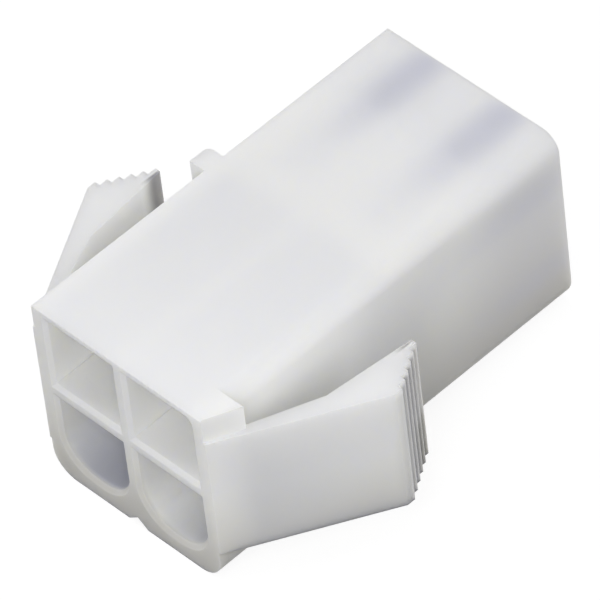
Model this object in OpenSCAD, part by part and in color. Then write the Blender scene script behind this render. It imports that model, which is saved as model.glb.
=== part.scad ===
// Panel mount housing for a wire to board connector, moulded in one piece from natural nylon.
// X runs across the housing, Y from the mating face to the wire face, Z up from its underside.
// The origin is below the middle of the housing, on the plane of its underside.

/* [Circuits] */
// Number of circuits in each of the two rows
columns = 2; // [2:1:6]
// Distance between neighbouring circuits, across a row and between the rows
pitch = 5.03; // [4.9:0.01:5.6]

/* [Body] */
// Length from the mating face to the wire face
body_length = 22.7; // [20:0.1:30]
// Thickness of the walls left and right of a row
side_wall = 0.78; // [0.7:0.02:1.4]
// Thickness of the wall above the square chambers
top_wall = 0.5; // [0.4:0.05:1.2]
// Thickness of the floor under the rounded chambers
floor_wall = 0.95; // [0.6:0.01:1.4]
// Radius of the one rounded top edge, which keys the housing in its panel
key_radius = 1; // [0.6:0.05:1.4]
// Radius of the two bottom edges, under the rounded chambers
lobe_radius = 1.35; // [0.8:0.05:1.8]
// Width of the groove between two rounded chambers, on the underside
groove_width = 1.2; // [0.6:0.1:1.6]
// Depth of that groove
groove_depth = 0.45; // [0.2:0.05:0.6]

/* [Mating chambers] */
// Width and height of one chamber
chamber = 4.2; // [4.05:0.05:4.4]
// Depth of a chamber from the mating face
chamber_depth = 11.5; // [9:0.5:13]
// Radius of the bottom corners of a rounded chamber
chamber_radius = 1.85; // [1.2:0.05:2]
// Radius of the corner beside the keyed edge, inside its chamber
key_inner_radius = 0.45; // [0.2:0.05:0.6]
// Bevel round the mouth of a chamber
chamber_lead = 0.2; // [0.1:0.05:0.3]

/* [Terminal bores] */
// Diameter of the neck that holds a terminal
neck_bore = 3; // [2.8:0.1:3.4]
// Length of the neck
neck_length = 2.2; // [1.6:0.1:3]
// Diameter of the bore behind the neck
wire_bore = 4.1; // [3.9:0.1:4.3]
// Diameter of the wider entry at the wire face
entry_bore = 4.5; // [4.4:0.05:4.7]
// Depth of the wider entry
entry_depth = 4; // [2.5:0.5:6]
// Length of each cone between two diameters of a bore
bore_step = 0.4; // [0.2:0.1:0.6]

/* [Panel ears] */
// Height of an ear
ear_height = 7.3; // [5:0.1:8]
// Height of the underside of an ear above the underside of the body
ear_base = 1.95; // [1.4:0.05:2.4]
// Step from the body's wall to the outer face of an ear, at the mating face
ear_step = 0.1; // [0:0.05:0.4]
// Angle between the outer face of an ear and the body
ear_angle = 29.5; // [27:0.5:33]
// Distance from the mating face to the first tooth
ear_reach = 7.6; // [6.8:0.1:8.6]
// Distance from the mating face to the end of an ear
ear_length = 10.45; // [9.6:0.05:11]
// Length over which the ear is solid to the body
ear_web = 1.9; // [1.4:0.1:2.6]
// Thickness of the ear where it leaves the body
ear_plate = 0.55; // [0.45:0.05:0.8]
// Distance from the mating face to the bend in the inner face
ear_knee = 5.6; // [5:0.1:6.4]
// Width of the gap between ear and body at the bend
knee_gap = 2.1; // [1.7:0.1:2.3]
// Lean of the inner face beyond the bend
barb_angle = 6; // [2:1:8]
// Thickness of the ear at its very end
tip_thickness = 0.3; // [0.2:0.05:0.5]
// Number of teeth between the widest point and the end of an ear
teeth = 6; // [4:1:8]
// Reach of the shoulder that stands on the root of the right ear, at the end of the web
shoulder_reach = 0.8; // [0.5:0.05:1]
// Step from the mating face back to the shoulder
shoulder_setback = 0.15; // [0.05:0.05:0.4]

/* [Stop tabs] */
// Distance between the end of the ears and the tabs
stop_gap = 0.45; // [0.2:0.05:1]
// Length of a tab along the body
stop_length = 1.2; // [0.8:0.05:2]
// Reach of a tab beyond the wall
stop_reach = 0.95; // [0.6:0.05:1.4]
// Height of a tab
stop_height = 2.6; // [1.6:0.1:4]
// Radius of the outer corner of a tab that faces the wires
stop_radius = 0.35; // [0.1:0.05:0.5]

/* [Hidden] */
$fn = 64;
ROWS = 2;
CUT = 1;
SEAT = 0.3;

body_width = (columns - 1) * pitch + chamber + 2 * side_wall;
body_height = (ROWS - 1) * pitch + chamber + floor_wall + top_wall;
mating_y = -body_length / 2;
wire_y = body_length / 2;
lower_row_z = floor_wall + chamber / 2;

// Points of an ear are given as [distance from the body's wall, distance from the mating face]
barb_tip = [ear_step + ear_reach * tan(ear_angle), ear_reach];
// Inner face of the ear, from the end of its web over the bend to the end of the ear
inner_root = [ear_step + ear_web * tan(ear_angle) - ear_plate / cos(ear_angle), ear_web];
inner_knee = [knee_gap, ear_knee];
inner_end = [knee_gap + (ear_length - ear_knee) * tan(barb_angle), ear_length];
tooth_run = (ear_length - ear_reach) / teeth;
tooth_step = (barb_tip.x - inner_end.x - tip_thickness) / (teeth - 1);
stop_start = ear_length + stop_gap;

function column_x(column) = (column - (columns - 1) / 2) * pitch;
function row_z(row) = lower_row_z + row * pitch;

// What lies outside a quarter round on a corner at the origin, with the material towards +x and +y
module corner_waste(radius) {
    difference() {
        translate([-CUT, -CUT]) square(radius + CUT);
        translate([radius, radius]) circle(radius);
    }
}

// Outline of the body seen on its mating face, with its middle on the Y axis of the drawing
module body_profile() {
    difference() {
        translate([-body_width / 2, 0]) square([body_width, body_height]);
        translate([body_width / 2, body_height]) rotate(180) corner_waste(key_radius);
        for (side = [0, 1])
            mirror([side, 0]) translate([-body_width / 2, 0]) corner_waste(lobe_radius);
        for (column = [0 : columns - 2])
            translate([column_x(column) + pitch / 2, 0])
                polygon([
                    [-groove_width / 2, 0], [-groove_width / 2, -CUT],
                    [groove_width / 2, -CUT], [groove_width / 2, 0],
                    [0, groove_depth]
                ]);
    }
}

// Square chamber of the top row, centred on its circuit, with one keyed corner in the last column
module square_chamber_profile(keyed) {
    difference() {
        square(chamber, center = true);
        if (keyed) translate([chamber / 2, chamber / 2]) rotate(180) corner_waste(key_inner_radius);
    }
}

// Chamber of the bottom row, with a flat top and a rounded bottom
module rounded_chamber_profile() {
    difference() {
        square(chamber, center = true);
        for (side = [0, 1])
            mirror([side, 0]) translate([-chamber / 2, -chamber / 2]) corner_waste(chamber_radius);
    }
}

// Stands a drawing up on the mating face and runs it towards the wire face
module from_mating_face(x, z, start, length, taper = 1) {
    translate([x, mating_y + start + length, z]) rotate([90, 0, 0])
        linear_extrude(height = length, scale = taper) children();
}

// Everything that is hollow for one mating chamber, with the bevel at its mouth
module chamber_space(x, z) {
    from_mating_face(x, z, -CUT, chamber_depth + CUT) children();
    from_mating_face(x, z, 0, chamber_lead, (chamber + 2 * chamber_lead) / chamber) children();
}

// Stepped bore for one terminal, from the floor of its chamber to the wire face
module terminal_bore(x, z) {
    bore_start = mating_y + chamber_depth + neck_length;
    entry_start = wire_y - entry_depth;
    translate([x, 0, z]) {
        turned(mating_y + chamber_depth - CUT, CUT + neck_length, neck_bore, neck_bore);
        turned(bore_start - bore_step, bore_step, neck_bore, wire_bore);
        turned(bore_start, entry_start - bore_start, wire_bore, wire_bore);
        turned(entry_start, bore_step, wire_bore, entry_bore);
        turned(entry_start + bore_step, entry_depth - bore_step + CUT, entry_bore, entry_bore);
    }
}

// Round stretch along the Y axis, from one diameter to another
module turned(start, length, diameter, end_diameter) {
    translate([0, start, 0]) rotate([-90, 0, 0])
        cylinder(h = length, d1 = diameter, d2 = end_diameter);
}

// Outline of the right ear seen from above, with the body's wall at x = 0 and the mating face at y = 0
module ear_profile() {
    stairs = [
        for (tooth = [0 : teeth - 1], end = [0, 1])
            barb_tip + [-tooth * tooth_step, (tooth + end) * tooth_run]
    ];
    polygon(concat(
        [[-SEAT, 0], [ear_step, 0]], stairs,
        [inner_end, inner_knee, inner_root, [0, ear_web], [-SEAT, ear_web]]
    ));
}

// Ear on the right, and its mirror image on the left
module ears() {
    for (side = [0, 1])
        mirror([side, 0, 0]) translate([body_width / 2, mating_y, ear_base])
            linear_extrude(height = ear_height) ear_profile();
}

// Outline of the shoulder seen from above, with the body's wall at x = 0. It fills the keyed edge.
module shoulder_profile() {
    polygon([
        [-key_radius, 0], [0, 0], [0, shoulder_setback],
        [shoulder_reach, ear_web], [-key_radius, ear_web]
    ]);
}

// Shoulder from the top of the right ear's root up to the top of the body
module ear_shoulder() {
    translate([body_width / 2, mating_y, ear_base + ear_height - SEAT])
        linear_extrude(height = body_height - ear_base - ear_height + SEAT) shoulder_profile();
}

// Plan of the left stop tab, with the body's wall at x = 0
module stop_profile() {
    difference() {
        translate([-stop_reach, 0]) square([stop_reach + SEAT, stop_length]);
        translate([-stop_reach, stop_length]) rotate(-90) corner_waste(stop_radius);
    }
}

// Stop tabs, flush with the top on the left and with the underside on the right
module stop_tabs() {
    for (turn = [0, 1])
        translate([0, mating_y + stop_start, body_height / 2]) rotate([0, turn * 180, 0])
            translate([-body_width / 2, 0, body_height / 2 - stop_height])
                linear_extrude(height = stop_height) stop_profile();
}

// The whole moulding
module housing() {
    color([0.93, 0.93, 0.9]) difference() {
        union() {
            from_mating_face(0, 0, 0, body_length) body_profile();
            ears();
            ear_shoulder();
            stop_tabs();
        }
        for (column = [0 : columns - 1]) {
            chamber_space(column_x(column), row_z(0)) rounded_chamber_profile();
            chamber_space(column_x(column), row_z(1)) square_chamber_profile(column == columns - 1);
            for (row = [0 : ROWS - 1]) terminal_bore(column_x(column), row_z(row));
        }
    }
}

housing();
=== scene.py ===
"""Looks of a panel mount housing for a wire to board connector.

The housing is one moulding in natural nylon: two square and two rounded mating chambers at one
end, four round terminal bores at the other, two toothed ears and two stop tabs. The scene takes
the solid from the frame, softens its edges as a mould does, and gives it a milky nylon that light
soaks into. Shade is painted into its colour where its walls are thin, lie low, face the wire end
or lie in the shade of a chamber, and on the thin ends of the ears.
"""

import logging
import math
from dataclasses import dataclass, field
from enum import Enum

import bmesh
import bpy
from mathutils import Matrix, Vector


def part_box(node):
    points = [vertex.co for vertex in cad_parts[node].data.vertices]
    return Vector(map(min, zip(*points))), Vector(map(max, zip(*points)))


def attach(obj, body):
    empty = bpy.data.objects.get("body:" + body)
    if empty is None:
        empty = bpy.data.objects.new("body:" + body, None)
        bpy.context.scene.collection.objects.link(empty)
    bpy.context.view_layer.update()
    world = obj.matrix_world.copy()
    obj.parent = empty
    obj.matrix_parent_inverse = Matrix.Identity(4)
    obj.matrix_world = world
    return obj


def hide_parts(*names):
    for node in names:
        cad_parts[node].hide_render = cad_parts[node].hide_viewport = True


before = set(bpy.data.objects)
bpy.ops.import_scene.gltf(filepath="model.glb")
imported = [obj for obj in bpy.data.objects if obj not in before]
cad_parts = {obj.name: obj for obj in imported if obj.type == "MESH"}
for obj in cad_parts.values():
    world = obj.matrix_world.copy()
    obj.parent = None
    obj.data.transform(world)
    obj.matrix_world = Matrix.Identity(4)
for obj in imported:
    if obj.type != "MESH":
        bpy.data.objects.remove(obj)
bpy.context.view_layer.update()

Colour = tuple[float, float, float]
Place = tuple[float, float, float]

MM = 0.001
# Range that most values of a noise pattern lie in
NOISE_RANGE = (0.3, 0.7)
PIECE_NODE = "housing"
BODY = "root"

log = logging.getLogger("housing_scene")


class Maths(Enum):
    """Sums that a Math node works out, by the names that Blender gives them."""

    PLUS = "ADD"
    MINUS = "SUBTRACT"
    TIMES = "MULTIPLY"
    LARGER = "MAXIMUM"
    SIZE = "ABSOLUTE"
    SIGN = "SIGN"
    ROOT = "SQRT"
    BELOW = "LESS_THAN"


@dataclass(frozen=True)
class NodeGraph:
    """A short way to add and join the nodes of one material.

    Attributes:
        tree: The node tree that the nodes are added to.
    """

    tree: bpy.types.NodeTree

    def add(self, kind: str, **values: object) -> bpy.types.Node:
        """Adds one node.

        Args:
            kind: Type name of the node, without its ShaderNode prefix.
            **values: Properties of the node, by their names.

        Returns:
            The new node.
        """
        node = self.tree.nodes.new("ShaderNode" + kind)
        for name, value in values.items():
            setattr(node, name, value)
        return node

    def join(self, source: bpy.types.NodeSocket, target: bpy.types.NodeSocket) -> None:
        """Links an output to an input."""
        self.tree.links.new(source, target)

    def noise(self, vector: bpy.types.NodeSocket, scale: float, detail: float) -> bpy.types.Node:
        """Adds a noise pattern.

        Args:
            vector: Coordinates that the pattern reads.
            scale: Number of blotches to a metre.
            detail: Number of finer octaves.

        Returns:
            The noise node.
        """
        node = self.add("TexNoise")
        node.inputs["Scale"].default_value = scale
        node.inputs["Detail"].default_value = detail
        self.join(vector, node.inputs["Vector"])
        return node

    def spread(self, value: bpy.types.NodeSocket, low: float, high: float) -> bpy.types.NodeSocket:
        """Maps a pattern from its usual range onto another.

        Args:
            value: Output of a pattern.
            low: Value at the low end.
            high: Value at the high end.

        Returns:
            The mapped output.
        """
        node = self.add("MapRange")
        ends = ("From Min", "From Max", "To Min", "To Max")
        for name, number in zip(ends, (*NOISE_RANGE, low, high)):
            node.inputs[name].default_value = number
        self.join(value, node.inputs["Value"])
        return node.outputs["Result"]

    def ramp(
        self, value: bpy.types.NodeSocket, reach: tuple[float, float]
    ) -> bpy.types.NodeSocket:
        """Runs smoothly from 0 to 1.

        Args:
            value: Number that the ramp reads.
            reach: Numbers at its two ends.

        Returns:
            The level.
        """
        node = self.add("MapRange", interpolation_type="SMOOTHSTEP")
        node.inputs["From Min"].default_value, node.inputs["From Max"].default_value = reach
        self.join(value, node.inputs["Value"])
        return node.outputs["Result"]

    def without(self, share: bpy.types.NodeSocket) -> bpy.types.NodeSocket:
        """Returns what a share leaves of the whole."""
        return self.sum(Maths.PLUS, self.sum(Maths.TIMES, share, -1.0), 1.0)

    def sum(
        self,
        operation: Maths,
        first: bpy.types.NodeSocket,
        second: bpy.types.NodeSocket | float | None = None,
    ) -> bpy.types.NodeSocket:
        """Works out one sum.

        Args:
            operation: Which sum it is.
            first: First number.
            second: Second number, if the sum has two.

        Returns:
            The answer.
        """
        node = self.add("Math", operation=operation.value)
        self.join(first, node.inputs[0])
        if isinstance(second, float):
            node.inputs[1].default_value = second
        elif second is not None:
            self.join(second, node.inputs[1])
        return node.outputs["Value"]

    def blend(
        self,
        share: bpy.types.NodeSocket,
        colour: bpy.types.NodeSocket | Colour,
        tint: Colour,
    ) -> bpy.types.NodeSocket:
        """Blends a tint over a colour.

        Args:
            share: Share of the tint, from 0 to 1.
            colour: Colour under it, plain or worked out by other nodes.
            tint: The tint.

        Returns:
            The blended colour.
        """
        node = self.add("Mix", data_type="RGBA")
        self.join(share, node.inputs["Factor"])
        colours = [socket for socket in node.inputs if socket.type == "RGBA"]
        if isinstance(colour, tuple):
            colours[0].default_value = (*colour, 1.0)
        else:
            self.join(colour, colours[0])
        colours[1].default_value = (*tint, 1.0)
        return next(socket for socket in node.outputs if socket.type == "RGBA")


@dataclass(frozen=True)
class Section:
    """Where a point lies in the moulding, for patterns that follow its shape.

    Attributes:
        x: Place across the housing.
        y: Place along it, from the mating face to the wire face.
        z: Height above its underside.
        beside: Distance right of the nearest circuit's axis.
        above: Distance above that axis.
        middle: Height halfway between the two rows, in metres.
    """

    x: bpy.types.NodeSocket
    y: bpy.types.NodeSocket
    z: bpy.types.NodeSocket
    beside: bpy.types.NodeSocket
    above: bpy.types.NodeSocket
    middle: float


@dataclass(frozen=True)
class CircuitGrid:
    """Where the four circuits of the housing lie.

    Attributes:
        half_pitch: Half the distance between two circuits, in metres.
        middle: Height halfway between the two rows, in metres.
    """

    half_pitch: float = 2.515 * MM
    middle: float = 5.565 * MM

    def section(self, graph: NodeGraph, place: bpy.types.NodeSocket) -> Section:
        """Measures a point against the nearest circuit.

        Args:
            graph: Graph that the sums are added to.
            place: Object coordinates.

        Returns:
            Where the point lies.
        """
        axes = graph.add("SeparateXYZ")
        graph.join(place, axes.inputs["Vector"])
        x, y, z = (axes.outputs[name] for name in "XYZ")
        height = graph.sum(Maths.MINUS, z, self.middle)
        sides = (self._from_axis(graph, across) for across in (x, height))
        return Section(x, y, z, *sides, self.middle)

    def _from_axis(self, graph: NodeGraph, value: bpy.types.NodeSocket) -> bpy.types.NodeSocket:
        """Measures from the nearest of two axes that lie evenly about zero.

        Args:
            graph: Graph that the sums are added to.
            value: Place across the two axes.

        Returns:
            The distance past the nearest axis.
        """
        axis = graph.sum(Maths.TIMES, graph.sum(Maths.SIGN, value), self.half_pitch)
        return graph.sum(Maths.MINUS, value, axis)


@dataclass(frozen=True)
class PaintedShadeTint:
    """A stretch of the nylon whose colour carries painted shade, where it is thin, lies low or lies
    in shadow.

    Attributes:
        colour: Colour of the painted shade.
        fade: The two places between which the tint grows.
    """

    colour: Colour
    fade: tuple[float, float]


@dataclass(frozen=True)
class NylonPaintedShade:
    """Shade painted into the colour of the nylon over the moulding, where it is thin, lies low or
    lies in shadow.

    Attributes:
        far: Painted shade on the sides towards the wire face, below the top wall, along the
            housing.
        far_height: Heights between which that tint starts, down from the top.
        low: Painted shade towards the underside, downwards.
        bore: Painted shade over the terminal bores, towards the wire face, along the housing.
        bore_reach: Distances from a bore's axis where that tint starts to fade and has gone.
        chamber: Painted shade in the two rounded chambers, from their upper left to their lower
            right.
        rise: Share of a step down that counts as a step to the right there.
        right_shift: Share of the place across the housing by which the tint starts later.
        chamber_reach: Distances from their axes where that tint starts to fade and has gone.
        chamber_mouth: Places between which it starts, in from the mating face.
        chamber_floor: Places between which it ends, at the floor of the chambers.
        teeth: Painted shade on the teeth of the ears, along the housing.
        tooth_reach: Distances from the middle of the housing between which the teeth start.
        tooth_height: Heights between which that tint starts, down from the top of the ears.
        tip: Painted shade on the inner face of an ear, towards its tip.
        tip_reach: Distances from the middle of the housing between which that face starts.
        low_tip: Painted shade on the lower half of the last teeth.
        low_height: Heights between which that tint starts.
    """

    # Painted shade: the sides grow darker towards the wire face.
    far: PaintedShadeTint = PaintedShadeTint((0.81, 0.807, 0.818), (2.0 * MM, 9.0 * MM))
    far_height: tuple[float, float] = (10.6 * MM, 8.8 * MM)
    # Painted shade: the colour grows darker towards the underside.
    low: PaintedShadeTint = PaintedShadeTint((0.53, 0.515, 0.485), (7.8 * MM, -3.0 * MM))
    # Painted shade: the dark hollow bores showing through the thin walls over them.
    bore: PaintedShadeTint = PaintedShadeTint((0.62, 0.63, 0.79), (1.0 * MM, 11.4 * MM))
    bore_reach: tuple[float, float] = (2.3 * MM, 3.1 * MM)
    # Painted shade: the side of the rounded chambers that their walls shade.
    chamber: PaintedShadeTint = PaintedShadeTint((0.57, 0.58, 0.65), (-1.9 * MM, 2.6 * MM))
    rise: float = 0.5
    right_shift: float = 0.35
    chamber_reach: tuple[float, float] = (2.12 * MM, 2.3 * MM)
    chamber_mouth: tuple[float, float] = (-11.25 * MM, -10.9 * MM)
    chamber_floor: tuple[float, float] = (0.2 * MM, 0.4 * MM)
    # Painted shade: the teeth of the ears are darker.
    teeth: PaintedShadeTint = PaintedShadeTint((0.38, 0.38, 0.41), (-4.2 * MM, -2.4 * MM))
    tooth_reach: tuple[float, float] = (8.06 * MM, 8.2 * MM)
    tooth_height: tuple[float, float] = (9.2 * MM, 8.8 * MM)
    # Painted shade: the inner face of each ear grows dark towards its tip.
    tip: PaintedShadeTint = PaintedShadeTint((0.2, 0.2, 0.24), (-2.3 * MM, -1.3 * MM))
    tip_reach: tuple[float, float] = (6.9 * MM, 7.1 * MM)
    # Painted shade: the lower half of the last teeth is darkest.
    low_tip: PaintedShadeTint = PaintedShadeTint((0.2, 0.2, 0.21), (-2.5 * MM, -1.4 * MM))
    low_height: tuple[float, float] = (5.4 * MM, 4.1 * MM)

    def apply(
        self, graph: NodeGraph, colour: bpy.types.NodeSocket, where: Section
    ) -> bpy.types.NodeSocket:
        """Paints shade into the white of the nylon.

        Args:
            graph: Graph of the material.
            colour: Colour of the thick nylon at the mating face.
            where: Where a point lies in the moulding.

        Returns:
            The tinted colour.
        """
        inside = self._inside_chamber(graph, where)
        # Share of the painted shade towards the underside, kept out of the chambers.
        low = graph.sum(Maths.TIMES, graph.without(inside), graph.ramp(where.z, self.low.fade))
        shares = (
            (self._far_below_top(graph, where), self.far),
            (low, self.low),
            (self._over_bore(graph, where), self.bore),
            (self._in_lower_chamber(graph, where, inside), self.chamber),
            *self._on_ears(graph, where),
        )
        for share, tint in shares:
            colour = graph.blend(share, colour, tint.colour)
        return colour

    def _far_below_top(self, graph: NodeGraph, where: Section) -> bpy.types.NodeSocket:
        """Finds the sides of the housing towards the wire face, where shade is painted.

        Args:
            graph: Graph of the material.
            where: Where a point lies in the moulding.

        Returns:
            Share of the tint.
        """
        below = graph.ramp(where.z, self.far_height)
        return graph.sum(Maths.TIMES, below, graph.ramp(where.y, self.far.fade))

    def _inside_chamber(self, graph: NodeGraph, where: Section) -> bpy.types.NodeSocket:
        """Finds the inside of the four chambers.

        Args:
            graph: Graph of the material.
            where: Where a point lies in the moulding.

        Returns:
            Share of the inside.
        """
        sides = (graph.sum(Maths.SIZE, side) for side in (where.beside, where.above))
        share = graph.without(graph.ramp(graph.sum(Maths.LARGER, *sides), self.chamber_reach))
        share = graph.sum(Maths.TIMES, share, graph.ramp(where.y, self.chamber_mouth))
        floor = graph.without(graph.ramp(where.y, self.chamber_floor))
        return graph.sum(Maths.TIMES, share, floor)

    def _over_bore(self, graph: NodeGraph, where: Section) -> bpy.types.NodeSocket:
        """Finds the walls over the terminal bores, where the shade of the hollow bores is painted.

        Args:
            graph: Graph of the material.
            where: Where a point lies in the moulding.

        Returns:
            Share of the tint.
        """
        squares = (graph.sum(Maths.TIMES, side, side) for side in (where.beside, where.above))
        radius = graph.sum(Maths.ROOT, graph.sum(Maths.PLUS, *squares))
        near = graph.without(graph.ramp(radius, self.bore_reach))
        return graph.sum(Maths.TIMES, near, graph.ramp(where.y, self.bore.fade))

    def _in_lower_chamber(
        self, graph: NodeGraph, where: Section, inside: bpy.types.NodeSocket
    ) -> bpy.types.NodeSocket:
        """Finds the side of the two rounded chambers where their shade is painted.

        Args:
            graph: Graph of the material.
            where: Where a point lies in the moulding.
            inside: Share of the inside of all four chambers.

        Returns:
            Share of the tint.
        """
        lower = graph.sum(Maths.TIMES, inside, graph.sum(Maths.BELOW, where.z, where.middle))
        slant = graph.sum(Maths.MINUS, where.beside, graph.sum(Maths.TIMES, where.above, self.rise))
        slant = graph.sum(Maths.MINUS, slant, graph.sum(Maths.TIMES, where.x, self.right_shift))
        return graph.sum(Maths.TIMES, lower, graph.ramp(slant, self.chamber.fade))

    def _on_ears(
        self, graph: NodeGraph, where: Section
    ) -> tuple[tuple[bpy.types.NodeSocket, PaintedShadeTint], ...]:
        """Finds the thin ends of the ears, where shade is painted.

        Args:
            graph: Graph of the material.
            where: Where a point lies in the moulding.

        Returns:
            Each tint with its share.
        """
        out = graph.sum(Maths.SIZE, where.x)
        outside = graph.ramp(out, self.tooth_reach)
        inside = graph.sum(Maths.TIMES, graph.ramp(out, self.tip_reach), graph.without(outside))
        below_top = graph.ramp(where.z, self.tooth_height)
        places = (
            (self.teeth, graph.sum(Maths.TIMES, outside, below_top)),
            (self.tip, inside),
            (self.low_tip, graph.sum(Maths.TIMES, outside, graph.ramp(where.z, self.low_height))),
        )
        return tuple(
            (graph.sum(Maths.TIMES, place, graph.ramp(where.y, tint.fade)), tint)
            for tint, place in places
        )


@dataclass(frozen=True)
class NaturalNylon:
    """Milky, unpigmented nylon with a fine moulded grain.

    Attributes:
        light: Colour of the whiter patches, where the nylon is thick and high.
        deep: Colour of the slightly greyer patches there.
        depth: How far each colour of light travels inside, in metres; blue turns back soonest.
        near_depth: Share of that depth at the mating face, where the walls are thin and dense.
        depth_run: Places along the housing between which the depth grows.
        ear_depth: Share of the depth that the ears have.
        ear_reach: Distances from the middle of the housing between which the ears start.
        bend: How strongly it bends light, as an index of refraction.
        gloss_level: Level of its gloss.
        gloss_low: Roughness of the smoothest places.
        gloss_high: Roughness of the most matt places.
        patch_detail: Number of finer octaves in the whiter patches.
        grain: Number of grains of the moulded surface to a metre.
        grain_detail: Number of finer octaves in the grain.
        grain_height: Height of the grain, in metres.
        flow: Number of slow waves of the surface to a metre.
        flow_detail: Number of finer octaves in these waves.
        flow_height: Height of these waves, in metres.
        grid: Where the circuits lie.
        shade: Shade painted into its colour over the moulding.
    """

    light: Colour = (0.992, 0.991, 0.966)
    deep: Colour = (0.98, 0.979, 0.953)
    depth: Colour = (1.8 * MM, 1.75 * MM, 1.45 * MM)
    near_depth: float = 0.45
    depth_run: tuple[float, float] = (3.0 * MM, 9.0 * MM)
    ear_depth: float = 1.35
    ear_reach: tuple[float, float] = (5.5 * MM, 6.2 * MM)
    bend: float = 1.53
    gloss_level: float = 0.3
    gloss_low: float = 0.36
    gloss_high: float = 0.5
    patch_detail: float = 3.0
    grain: float = 9000.0
    grain_detail: float = 4.0
    grain_height: float = 0.004 * MM
    flow: float = 260.0
    flow_detail: float = 1.0
    flow_height: float = 0.03 * MM
    grid: CircuitGrid = field(default_factory=CircuitGrid)
    shade: NylonPaintedShade = field(default_factory=NylonPaintedShade)

    def build(self, name: str) -> bpy.types.Material:
        """Makes the material.

        Args:
            name: Name of the material, which is the record's slot.

        Returns:
            The finished material.
        """
        material = bpy.data.materials.new(name)
        material.use_nodes = True
        graph = NodeGraph(material.node_tree)
        shader = material.node_tree.nodes["Principled BSDF"]
        place = graph.add("TexCoord").outputs["Object"]
        where = self.grid.section(graph, place)
        self._colour(graph, shader, place, where)
        self._body(graph, shader, where)
        self._surface(graph, shader, place)
        return material

    def _colour(
        self,
        graph: NodeGraph,
        shader: bpy.types.Node,
        place: bpy.types.NodeSocket,
        where: Section,
    ) -> None:
        """Blends the two whites in slow patches, as in melt that cooled at different rates.

        Args:
            graph: Graph of the material.
            shader: Its Principled shader.
            place: Object coordinates.
            where: Where a point lies in the moulding.
        """
        patches = graph.noise(place, self.flow, self.patch_detail)
        whiter = graph.spread(patches.outputs["Fac"], 0.0, 1.0)
        colour = graph.blend(whiter, self.deep, self.light)
        # The white gets its painted shade here: darker, bluer colour where the moulding is thin,
        # low or in shadow.
        graph.join(self.shade.apply(graph, colour, where), shader.inputs["Base Color"])

    def _body(self, graph: NodeGraph, shader: bpy.types.Node, where: Section) -> None:
        """Lets light into the plastic.

        Args:
            graph: Graph of the material.
            shader: Its Principled shader.
            where: Where a point lies in the moulding.
        """
        furthest = max(self.depth)
        near = furthest * self.near_depth
        to_far = graph.sum(Maths.TIMES, graph.ramp(where.y, self.depth_run), furthest - near)
        ear = graph.ramp(graph.sum(Maths.SIZE, where.x), self.ear_reach)
        to_ear = graph.sum(Maths.TIMES, ear, furthest * self.ear_depth - near)
        reach = graph.sum(Maths.PLUS, graph.sum(Maths.LARGER, to_far, to_ear), near)
        graph.join(reach, shader.inputs["Subsurface Scale"])
        shader.subsurface_method = "RANDOM_WALK"
        shader.inputs["Subsurface Weight"].default_value = 1.0
        shader.inputs["Subsurface Radius"].default_value = [part / furthest for part in self.depth]
        shader.inputs["IOR"].default_value = self.bend
        shader.inputs["Specular IOR Level"].default_value = self.gloss_level

    def _surface(
        self, graph: NodeGraph, shader: bpy.types.Node, place: bpy.types.NodeSocket
    ) -> None:
        """Gives the skin its uneven gloss, its grain and its slight sink.

        Args:
            graph: Graph of the material.
            shader: Its Principled shader.
            place: Object coordinates.
        """
        grain = graph.noise(place, self.grain, self.grain_detail)
        flow = graph.noise(place, self.flow, self.flow_detail)
        gloss = graph.spread(flow.outputs["Fac"], self.gloss_low, self.gloss_high)
        graph.join(gloss, shader.inputs["Roughness"])
        last = None
        for pattern, height in ((flow, self.flow_height), (grain, self.grain_height)):
            bump = graph.add("Bump")
            bump.inputs["Distance"].default_value = height
            graph.join(pattern.outputs["Fac"], bump.inputs["Height"])
            if last is not None:
                graph.join(last.outputs["Normal"], bump.inputs["Normal"])
            last = bump
        graph.join(last.outputs["Normal"], shader.inputs["Normal"])


@dataclass(frozen=True)
class PaleSurface:
    """Plain pale studio surface that shows white wherever no shadow falls.

    Attributes:
        colour: Its own colour, which the lamps light.
        lift: Light that it adds for the camera, for gloss and for glass.
    """

    colour: Colour = (0.22, 0.22, 0.22)
    lift: float = 0.86

    def build(self, name: str) -> bpy.types.Material:
        """Makes the material.

        Args:
            name: Name of the material.

        Returns:
            The finished material.
        """
        material = bpy.data.materials.new(name)
        material.use_nodes = True
        material.node_tree.nodes.clear()
        graph = NodeGraph(material.node_tree)
        skin = graph.add("BsdfDiffuse")
        skin.inputs["Color"].default_value = (*self.colour, 1.0)
        glow = graph.add("Emission")
        graph.join(seen_directly(graph, self.lift, 0.0), glow.inputs["Strength"])
        both = graph.add("AddShader")
        graph.join(skin.outputs["BSDF"], both.inputs[0])
        graph.join(glow.outputs["Emission"], both.inputs[1])
        graph.join(both.outputs["Shader"], graph.add("OutputMaterial").inputs["Surface"])
        return material


def seen_directly(graph: NodeGraph, seen: float, other: float) -> bpy.types.NodeSocket:
    """Picks one strength for rays that show a surface and another for rays that light the scene.

    Args:
        graph: Graph that the choice is added to.
        seen: Strength for camera, gloss and glass rays.
        other: Strength for every other ray.

    Returns:
        The output with the chosen strength.
    """
    path = graph.add("LightPath")
    total = path.outputs["Is Camera Ray"]
    for name in ("Is Glossy Ray", "Is Transmission Ray"):
        total = graph.sum(Maths.LARGER, total, path.outputs[name])
    choice = graph.add("MapRange")
    choice.inputs["To Min"].default_value = other
    choice.inputs["To Max"].default_value = seen
    graph.join(total, choice.inputs["Value"])
    return choice.outputs["Result"]


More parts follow.
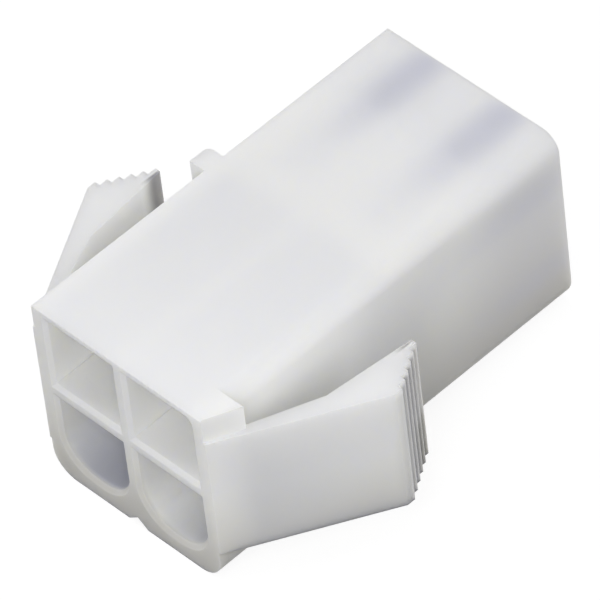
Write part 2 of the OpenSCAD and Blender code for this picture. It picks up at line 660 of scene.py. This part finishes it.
@dataclass
class HousingMoulding:
    """The one-piece nylon moulding: body, chambers, bores, ears and stop tabs.

    Attributes:
        node: Node of the frame whose solid the moulding copies.
        slot: Slot of the record that it takes its finish from.
        finish: Finish of the moulding.
        edge_radius: Radius of every edge that the mould leaves, in metres.
        edge_steps: Number of facets across that radius.
        sharp_angle: Angle between two faces past which their edge is rounded, in degrees.
        merge_gap: Distance within which corners of the solid's triangles are one, in metres.
        flat_angle: Angle below which two triangles are one flat face, in degrees.
        wall_area: Area past which a face is a flat wall and not a facet of a round one.
        wall_weight: Weight of such a wall against a facet, where both meet.
        mark: Name of the mark on faces that the rounding makes.
    """

    node: str = PIECE_NODE
    slot: str = "natural_nylon"
    finish: NaturalNylon = field(default_factory=NaturalNylon)
    edge_radius: float = 0.09 * MM
    edge_steps: int = 2
    sharp_angle: float = 28.0
    merge_gap: float = 0.0005 * MM
    flat_angle: float = 0.6
    wall_area: float = 8.0 * MM**2
    wall_weight: float = 1000.0
    mark: str = "rounding"

    def build(self) -> bpy.types.Object:
        """Builds, rounds and dresses the moulding.

        Returns:
            The finished piece.
        """
        shape = self._copy_of_solid()
        self._round_edges(shape)
        piece = self._as_object(shape)
        self._dress(piece)
        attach(piece, BODY)
        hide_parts(self.node)
        return piece

    def _copy_of_solid(self) -> bmesh.types.BMesh:
        """Copies the solid and makes clean faces of its loose triangles.

        Returns:
            The solid as one closed mesh of flat faces.
        """
        shape = bmesh.new()
        shape.from_mesh(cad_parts[self.node].data)
        bmesh.ops.remove_doubles(shape, verts=shape.verts[:], dist=self.merge_gap)
        bmesh.ops.dissolve_limit(
            shape,
            angle_limit=math.radians(self.flat_angle),
            verts=shape.verts[:],
            edges=shape.edges[:],
        )
        bmesh.ops.recalc_face_normals(shape, faces=shape.faces[:])
        return shape

    def _round_edges(self, shape: bmesh.types.BMesh) -> None:
        """Rounds every sharp edge, as a mould does.

        Args:
            shape: The mesh to round.
        """
        mark = shape.faces.layers.int.new(self.mark)
        limit = math.radians(self.sharp_angle)
        sharp = [edge for edge in shape.edges if edge.calc_face_angle(0.0) > limit]
        rounded = bmesh.ops.bevel(
            shape,
            geom=sharp,
            offset=self.edge_radius,
            offset_type="OFFSET",
            segments=self.edge_steps,
            profile=0.5,
            affect="EDGES",
            clamp_overlap=True,
            material=-1,
        )
        for face in rounded["faces"]:
            face[mark] = 1
        bmesh.ops.remove_doubles(shape, verts=shape.verts[:], dist=self.merge_gap)
        bmesh.ops.recalc_face_normals(shape, faces=shape.faces[:])

    def _even_normals(self, shape: bmesh.types.BMesh) -> list[Vector]:
        """Finds the normal of every corner, so that walls look flat and round faces even.

        Args:
            shape: The rounded mesh, with the marks of the rounding.

        Returns:
            One normal for each corner, in the order of the mesh.
        """
        mark = shape.faces.layers.int[self.mark]
        normals = []
        for corner in shape.verts:
            turns = list(corner.link_loops)
            normal = Vector()
            for turn in [turn for turn in turns if not turn.face[mark]] or turns:
                is_wall = turn.face.calc_area() > self.wall_area
                weight = self.wall_weight if is_wall else 1.0
                normal += turn.face.normal * turn.calc_angle() * weight
            normals.append(normal.normalized())
        return normals

    def _as_object(self, shape: bmesh.types.BMesh) -> bpy.types.Object:
        """Turns the mesh into an object at the origin.

        Args:
            shape: The finished mesh, which is freed.

        Returns:
            The new object, in the scene.
        """
        normals = self._even_normals(shape)
        shape.faces.layers.int.remove(shape.faces.layers.int[self.mark])
        mesh = bpy.data.meshes.new("nylon_housing")
        shape.to_mesh(mesh)
        shape.free()
        for polygon in mesh.polygons:
            polygon.use_smooth = True
            polygon.material_index = 0
        mesh.normals_split_custom_set_from_vertices(normals)
        piece = bpy.data.objects.new("nylon_housing", mesh)
        bpy.context.scene.collection.objects.link(piece)
        return piece

    def _dress(self, piece: bpy.types.Object) -> None:
        """Gives the piece its finish."""
        piece.data.materials.append(self.finish.build(self.slot))


@dataclass
class StudioFloor:
    """Plain pale floor that the housing lies on.

    Attributes:
        side: Length of a side, in metres.
        finish: Finish of the floor.
    """

    side: float = 3.0
    finish: PaleSurface = field(default_factory=PaleSurface)

    def build(self) -> bpy.types.Object:
        """Builds the floor at the foot of the housing.

        Returns:
            The floor.
        """
        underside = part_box(PIECE_NODE)[0][2]
        shape = bmesh.new()
        bmesh.ops.create_grid(shape, x_segments=1, y_segments=1, size=self.side / 2)
        bmesh.ops.translate(shape, verts=shape.verts[:], vec=(0.0, 0.0, underside))
        mesh = bpy.data.meshes.new("studio_floor")
        shape.to_mesh(mesh)
        shape.free()
        floor = bpy.data.objects.new("studio_floor", mesh)
        bpy.context.scene.collection.objects.link(floor)
        mesh.materials.append(self.finish.build("studio_paper"))
        return floor


@dataclass(frozen=True)
class SoftLamp:
    """One area lamp, aimed at the housing.

    Attributes:
        name: Name of the lamp.
        place: Where it stands, in metres.
        width: Its width, in metres.
        watts: Its power.
        in_gloss: Whether gloss mirrors it. A low lamp would wash out the top of the housing.
    """

    name: str
    place: Place
    width: float
    watts: float
    in_gloss: bool = True

    def build(self, aim: Vector) -> bpy.types.Object:
        """Sets up the lamp.

        Args:
            aim: Point that the lamp faces.

        Returns:
            The lamp.
        """
        data = bpy.data.lights.new(self.name, "AREA")
        data.shape = "DISK"
        data.size = self.width
        data.energy = self.watts
        lamp = bpy.data.objects.new(self.name, data)
        lamp.visible_camera = False
        lamp.visible_glossy = self.in_gloss
        bpy.context.scene.collection.objects.link(lamp)
        lamp.location = self.place
        lamp.rotation_euler = (Vector(self.place) - aim).to_track_quat("Z", "Y").to_euler()
        return lamp


@dataclass
class Studio:
    """Lamps and sky of the studio.

    Attributes:
        sky: Strength of the even light from all round.
        sky_colour: Colour of that light.
        lamps: The lamps.
    """

    sky: float = 0.39
    sky_colour: Colour = (1.0, 1.0, 1.0)
    lamps: tuple[SoftLamp, ...] = (
        SoftLamp("near_lamp", (0.03, -0.045, 0.05), 0.03, 0.0108, in_gloss=False),
        SoftLamp("front_lamp", (0.08, -0.11, 0.05), 0.08, 0.037, in_gloss=False),
        SoftLamp("right_lamp", (0.1, 0.09, 0.05), 0.08, 0.037, in_gloss=False),
        SoftLamp("left_lamp", (-0.4, 0.0, 0.2), 0.3, 0.88),
        SoftLamp("far_lamp", (0.1, 0.5, 0.2), 0.4, 0.56),
    )

    def build(self) -> list[bpy.types.Object]:
        """Sets up the sky and every lamp.

        Returns:
            The lamps.
        """
        low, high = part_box(PIECE_NODE)
        aim = (Vector(low) + Vector(high)) / 2
        world = bpy.data.worlds.new("studio_sky")
        bpy.context.scene.world = world
        world.use_nodes = True
        world.node_tree.nodes.clear()
        graph = NodeGraph(world.node_tree)
        light = graph.add("Background")
        light.inputs["Color"].default_value = (*self.sky_colour, 1.0)
        graph.join(seen_directly(graph, 1.0, self.sky), light.inputs["Strength"])
        graph.join(light.outputs["Background"], graph.add("OutputWorld").inputs["Surface"])
        bpy.context.scene.view_settings.view_transform = "Standard"
        return [lamp.build(aim) for lamp in self.lamps]


@dataclass(frozen=True)
class StudioCamera:
    """Long lens that looks down on the mating face, the top and the keyed side.

    Attributes:
        azimuth: Angle round the housing from the mating face, in degrees.
        elevation: Height above the floor's plane, in degrees.
        roll: Turn of the camera about its own axis, in degrees.
        distance: Distance from the camera to the point that it looks at, in metres.
        across: How far that point lies right of the frame's origin in the view, in metres.
        above: How far it lies above the origin in the view, in metres.
        lens: Focal length, in millimetres.
        sensor: Width of the sensor, in millimetres.
        near_clip: Distance at which the view starts, in metres.
        far_clip: Distance at which it ends, in metres.
    """

    azimuth: float = 50.29
    elevation: float = 46.57
    roll: float = -7.28
    distance: float = 410.48 * MM
    across: float = -0.736 * MM
    above: float = 3.768 * MM
    lens: float = 540.0
    sensor: float = 36.0
    near_clip: float = 0.01
    far_clip: float = 50.0

    def build(self) -> bpy.types.Object:
        """Sets up the camera and makes it the scene's own.

        Returns:
            The camera.
        """
        angles = (self.azimuth, self.elevation, self.roll)
        turn, lift, lean = (math.radians(angle) for angle in angles)
        back = Vector(
            (math.sin(turn) * math.cos(lift), -math.cos(turn) * math.cos(lift), math.sin(lift))
        )
        level = (-back).cross(Vector((0.0, 0.0, 1.0))).normalized()
        upright = level.cross(-back)
        right = math.cos(lean) * level + math.sin(lean) * upright
        up = -math.sin(lean) * level + math.cos(lean) * upright
        data = bpy.data.cameras.new("studio_camera")
        data.lens = self.lens
        data.sensor_width = self.sensor
        data.clip_start = self.near_clip
        data.clip_end = self.far_clip
        camera = bpy.data.objects.new("studio_camera", data)
        bpy.context.scene.collection.objects.link(camera)
        place = self.across * right + self.above * up + self.distance * back
        turned = Matrix((right, up, back)).transposed().to_4x4()
        camera.matrix_world = Matrix.Translation(place) @ turned
        bpy.context.scene.camera = camera
        return camera


def main() -> None:
    """Builds the scene and reports each piece.
    """
    logging.basicConfig(level=logging.INFO, format="%(name)s: %(message)s")
    moulding = HousingMoulding().build()
    log.info("%s: %d faces", moulding.name, len(moulding.data.polygons))
    floor = StudioFloor().build()
    log.info("%s: stage", floor.name)
    for lamp in Studio().build():
        log.info("%s: %.4f W", lamp.name, lamp.data.energy)
    camera = StudioCamera().build()
    log.info("%s: %.0f mm lens", camera.name, camera.data.lens)


if __name__ == "__main__":
    main()
